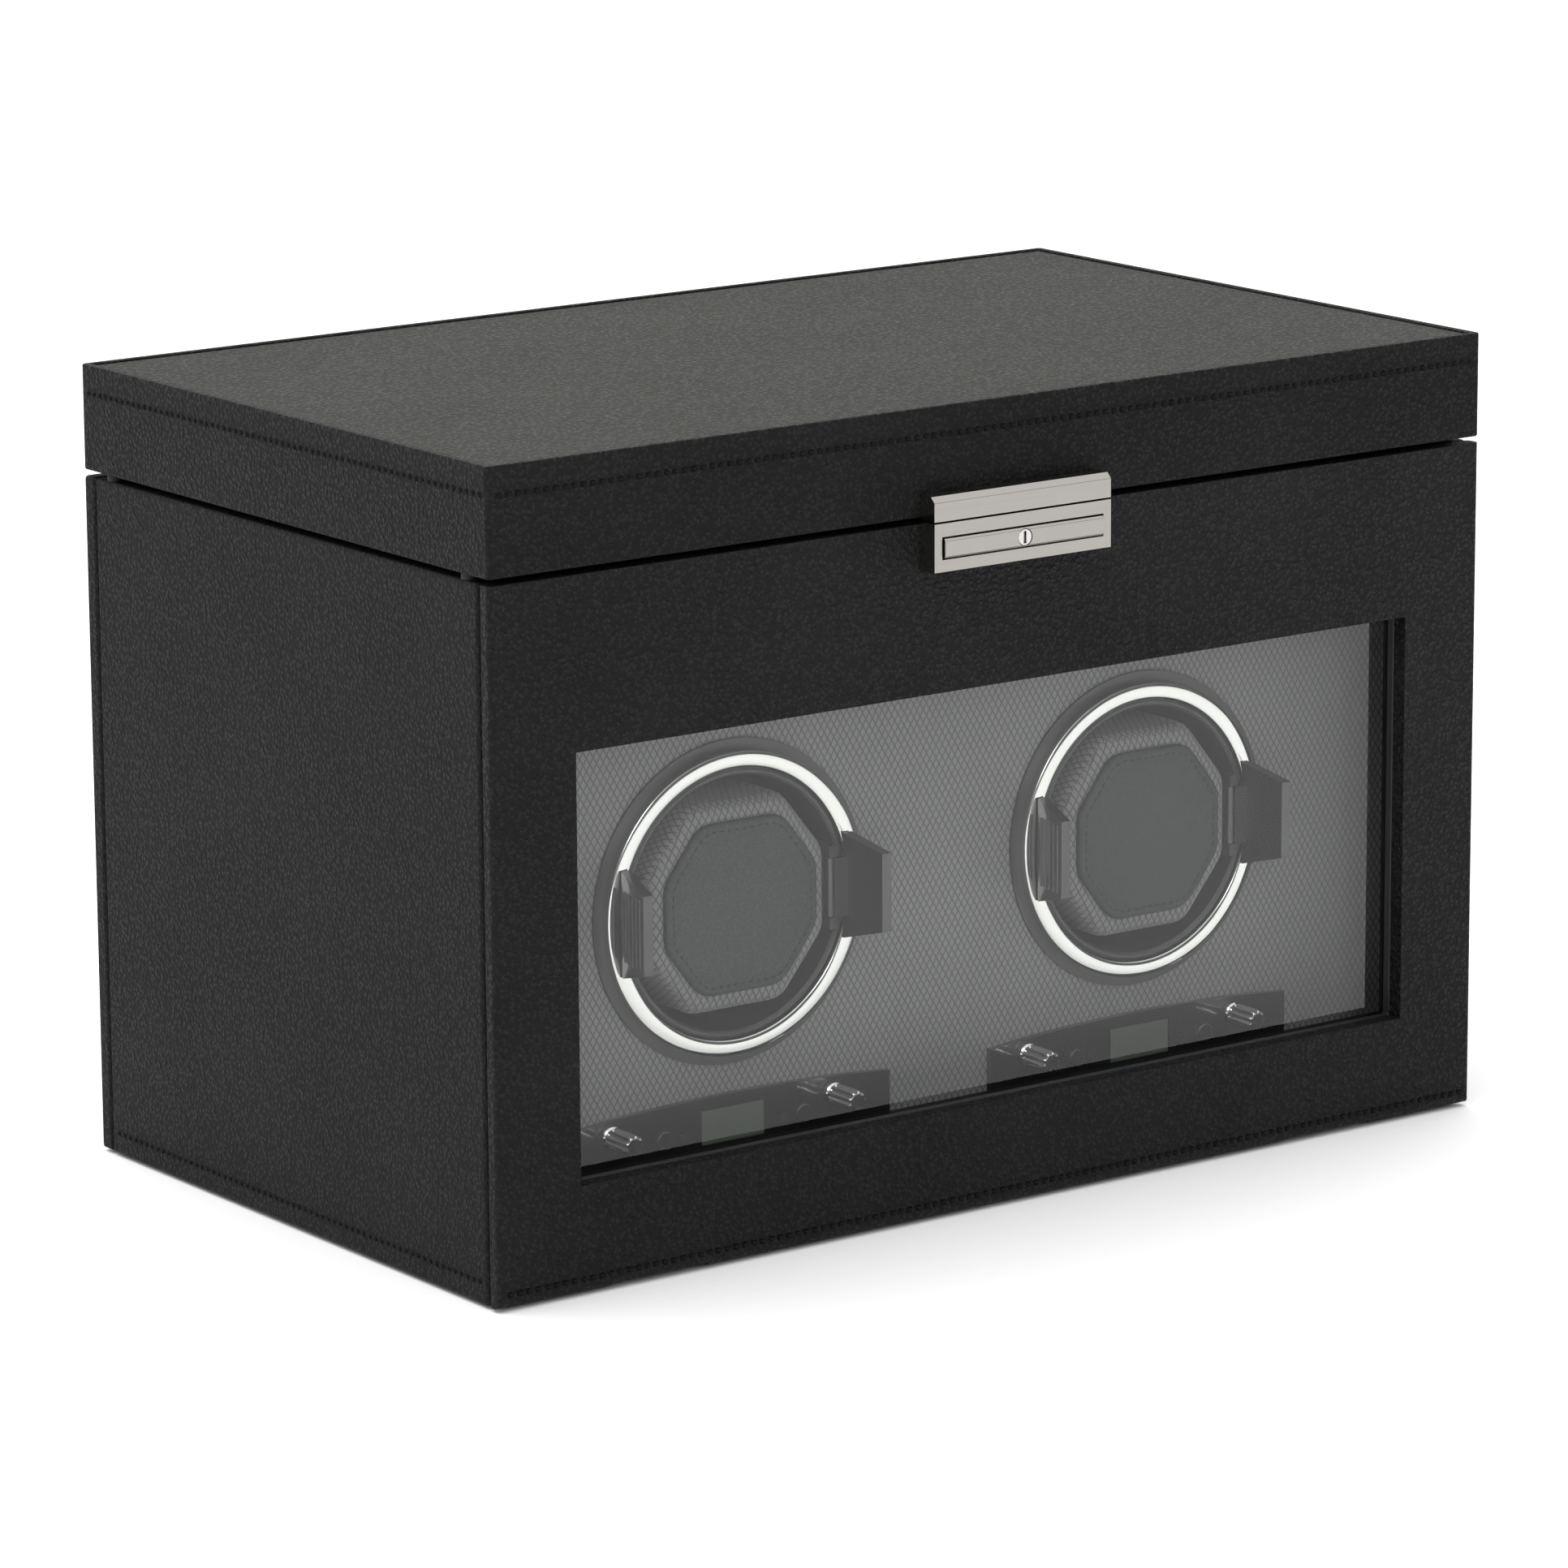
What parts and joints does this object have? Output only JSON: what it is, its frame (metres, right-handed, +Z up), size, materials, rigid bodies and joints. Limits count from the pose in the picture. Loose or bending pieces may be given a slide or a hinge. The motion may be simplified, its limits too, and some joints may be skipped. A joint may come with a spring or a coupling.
{
  "type": "watch winder box",
  "caption": "Black leatherette double watch winder box with a glazed drop front, a lidded storage tray and a bright push-bar lock.",
  "frame": {"origin": "middle of the felt underside, on the surface the box stands on", "axes": "+X to the right seen from the front, +Y to the back, +Z up"},
  "size_m": [0.348, 0.2193, 0.2324],
  "materials": {
    "leather": "pebble grain, satin",
    "weave": "fine diamond weave",
    "felt": "matte felt",
    "board_black": "black stained board",
    "plastic_black": "satin",
    "gloss_black": "high gloss",
    "chrome": "polished",
    "steel": "brushed",
    "glass": "clear, slightly grey",
    "pad_leather": "fine grain, satin",
    "display": "unlit display",
    "lamp": "unlit",
    "circuit": "solder mask",
    "belt": "matte",
    "brass": "satin"
  },
  "bodies": {
    "case": {"felt_base": "felt", "base_board": "board_black", "left_side_panel": "leather", "right_side_panel": "leather", "back_panel": "leather", "shelf_board": "board_black", "front_rail": "leather", "fascia_panel": "weave", "bay_lining": "plastic_black", "bezel_rings": "chrome", "winder_housings": "plastic_black", "drive_motors": "steel", "drive_belts": "belt", "left_control_panel": "gloss_black", "right_control_panel": "gloss_black", "displays": "display", "indicator_lights": "lamp", "control_board": "circuit", "dc_inlet": "plastic_black", "storage_tray": "felt", "lid_bumpers": "belt", "case_hinge_leaves": "steel", "hinge_pins": "steel"},
    "lid": {"lid_rim": "leather", "lid_top": "leather", "lid_lining": "felt", "catch_plate": "chrome", "lid_hinge_leaves": "steel"},
    "door": {"door_board": "leather", "door_frame": "plastic_black", "door_glass": "glass", "lock_body": "chrome", "door_hinge_leaves": "steel"},
    "push_bar_body": {"push_bar": "chrome"},
    "key_body": {"key_cylinder": "steel"},
    "bolt_body": {"lock_bolt": "brass"},
    "left_drum_body": {"left_drum": "plastic_black"},
    "left_motor_pulley_body": {"left_motor_pulley": "steel"},
    "left_cuff_body": {"left_cuff_core": "plastic_black", "left_cuff_cushion": "weave", "left_cuff_pad": "pad_leather"},
    "left_tab_a_body": {"left_cuff_tab_a": "gloss_black"},
    "left_tab_b_body": {"left_cuff_tab_b": "gloss_black"},
    "left_knob_a_body": {"left_knob_a": "chrome"},
    "left_knob_b_body": {"left_knob_b": "chrome"},
    "left_button_a_body": {"left_button_a": "gloss_black"},
    "left_button_b_body": {"left_button_b": "gloss_black"},
    "left_pillow_body": {"left_pillow": "weave"},
    "right_drum_body": {"right_drum": "plastic_black"},
    "right_motor_pulley_body": {"right_motor_pulley": "steel"},
    "right_cuff_body": {"right_cuff_core": "plastic_black", "right_cuff_cushion": "weave", "right_cuff_pad": "pad_leather"},
    "right_tab_a_body": {"right_cuff_tab_a": "gloss_black"},
    "right_tab_b_body": {"right_cuff_tab_b": "gloss_black"},
    "right_knob_a_body": {"right_knob_a": "chrome"},
    "right_knob_b_body": {"right_knob_b": "chrome"},
    "right_button_a_body": {"right_button_a": "gloss_black"},
    "right_button_b_body": {"right_button_b": "gloss_black"},
    "right_pillow_body": {"right_pillow": "weave"}
  },
  "joints": [
    {"name": "lid_hinge", "type": "hinge", "parent": "case", "child": "lid", "pos_m": [0, 0.10575, 0.201], "axis": [-1, 0, 0], "range_deg": [0, 100]},
    {"name": "door_hinge", "type": "hinge", "parent": "case", "child": "door", "pos_m": [0, -0.10075, 0.0033], "axis": [1, 0, 0], "range_deg": [0, 87]},
    {"name": "push_bar_slide", "type": "slide", "parent": "door", "child": "push_bar_body", "axis": [0, 1, 0], "range_m": [0, 0.0015], "stiffness_N_per_m": 600},
    {"name": "key_turn", "type": "hinge", "parent": "door", "child": "key_body", "pos_m": [0, -0.10325, 0.194], "axis": [0, -1, 0], "range_deg": [0, 90]},
    {"name": "bolt_slide", "type": "slide", "parent": "door", "child": "bolt_body", "axis": [-1, 0, 0], "range_m": [0, 0.0045]},
    {"name": "left_drum_turn", "type": "hinge", "parent": "case", "child": "left_drum_body", "pos_m": [-0.0728, -0.012, 0.0932], "axis": [0, -1, 0], "continuous": true},
    {"name": "left_motor_turn", "type": "hinge", "parent": "case", "child": "left_motor_pulley_body", "pos_m": [-0.0728, 0.008, 0.1232], "axis": [0, -1, 0], "continuous": true},
    {"name": "left_cuff_slide", "type": "slide", "parent": "left_drum_body", "child": "left_cuff_body", "axis": [0, -1, 0], "range_m": [0, 0.003]},
    {"name": "left_tab_a_squeeze", "type": "hinge", "parent": "left_cuff_body", "child": "left_tab_a_body", "pos_m": [-0.1053, -0.0738, 0.0932], "axis": [0, 0, 1], "range_deg": [0, 6], "stiffness_Nm_per_rad": 0.3},
    {"name": "left_tab_b_squeeze", "type": "hinge", "parent": "left_cuff_body", "child": "left_tab_b_body", "pos_m": [-0.0403, -0.0738, 0.0932], "axis": [0, 0, -1], "range_deg": [0, 6], "stiffness_Nm_per_rad": 0.3},
    {"name": "left_knob_a_turn", "type": "hinge", "parent": "case", "child": "left_knob_a_body", "pos_m": [-0.1157, -0.07245, 0.0328], "axis": [0, -1, 0], "range_deg": [-60, 60]},
    {"name": "left_knob_b_turn", "type": "hinge", "parent": "case", "child": "left_knob_b_body", "pos_m": [-0.039, -0.07245, 0.0328], "axis": [0, -1, 0], "range_deg": [-150, 150]},
    {"name": "left_button_a_press", "type": "slide", "parent": "case", "child": "left_button_a_body", "axis": [0, 1, 0], "range_m": [0, 0.0008], "stiffness_N_per_m": 400},
    {"name": "left_button_b_press", "type": "slide", "parent": "case", "child": "left_button_b_body", "axis": [0, 1, 0], "range_m": [0, 0.0008], "stiffness_N_per_m": 400},
    {"name": "left_pillow_lift", "type": "slide", "parent": "case", "child": "left_pillow_body", "axis": [0, 0, 1], "range_m": [0, 0.024]},
    {"name": "right_drum_turn", "type": "hinge", "parent": "case", "child": "right_drum_body", "pos_m": [0.0728, -0.012, 0.0932], "axis": [0, -1, 0], "continuous": true},
    {"name": "right_motor_turn", "type": "hinge", "parent": "case", "child": "right_motor_pulley_body", "pos_m": [0.0728, 0.008, 0.1232], "axis": [0, -1, 0], "continuous": true},
    {"name": "right_cuff_slide", "type": "slide", "parent": "right_drum_body", "child": "right_cuff_body", "axis": [0, -1, 0], "range_m": [0, 0.003]},
    {"name": "right_tab_a_squeeze", "type": "hinge", "parent": "right_cuff_body", "child": "right_tab_a_body", "pos_m": [0.0403, -0.0738, 0.0932], "axis": [0, 0, 1], "range_deg": [0, 6], "stiffness_Nm_per_rad": 0.3},
    {"name": "right_tab_b_squeeze", "type": "hinge", "parent": "right_cuff_body", "child": "right_tab_b_body", "pos_m": [0.1053, -0.0738, 0.0932], "axis": [0, 0, -1], "range_deg": [0, 6], "stiffness_Nm_per_rad": 0.3},
    {"name": "right_knob_a_turn", "type": "hinge", "parent": "case", "child": "right_knob_a_body", "pos_m": [0.0307, -0.07245, 0.0328], "axis": [0, -1, 0], "range_deg": [-60, 60]},
    {"name": "right_knob_b_turn", "type": "hinge", "parent": "case", "child": "right_knob_b_body", "pos_m": [0.1074, -0.07245, 0.0328], "axis": [0, -1, 0], "range_deg": [-150, 150]},
    {"name": "right_button_a_press", "type": "slide", "parent": "case", "child": "right_button_a_body", "axis": [0, 1, 0], "range_m": [0, 0.0008], "stiffness_N_per_m": 400},
    {"name": "right_button_b_press", "type": "slide", "parent": "case", "child": "right_button_b_body", "axis": [0, 1, 0], "range_m": [0, 0.0008], "stiffness_N_per_m": 400},
    {"name": "right_pillow_lift", "type": "slide", "parent": "case", "child": "right_pillow_body", "axis": [0, 0, 1], "range_m": [0, 0.024]}
  ],
  "couplings": [
    {"joint": "bolt_slide", "follows": "key_turn", "m_per_rad": 0.0028648},
    {"joint": "left_motor_turn", "follows": "left_drum_turn", "ratio": 3.5},
    {"joint": "right_motor_turn", "follows": "right_drum_turn", "ratio": 3.5}
  ]
}
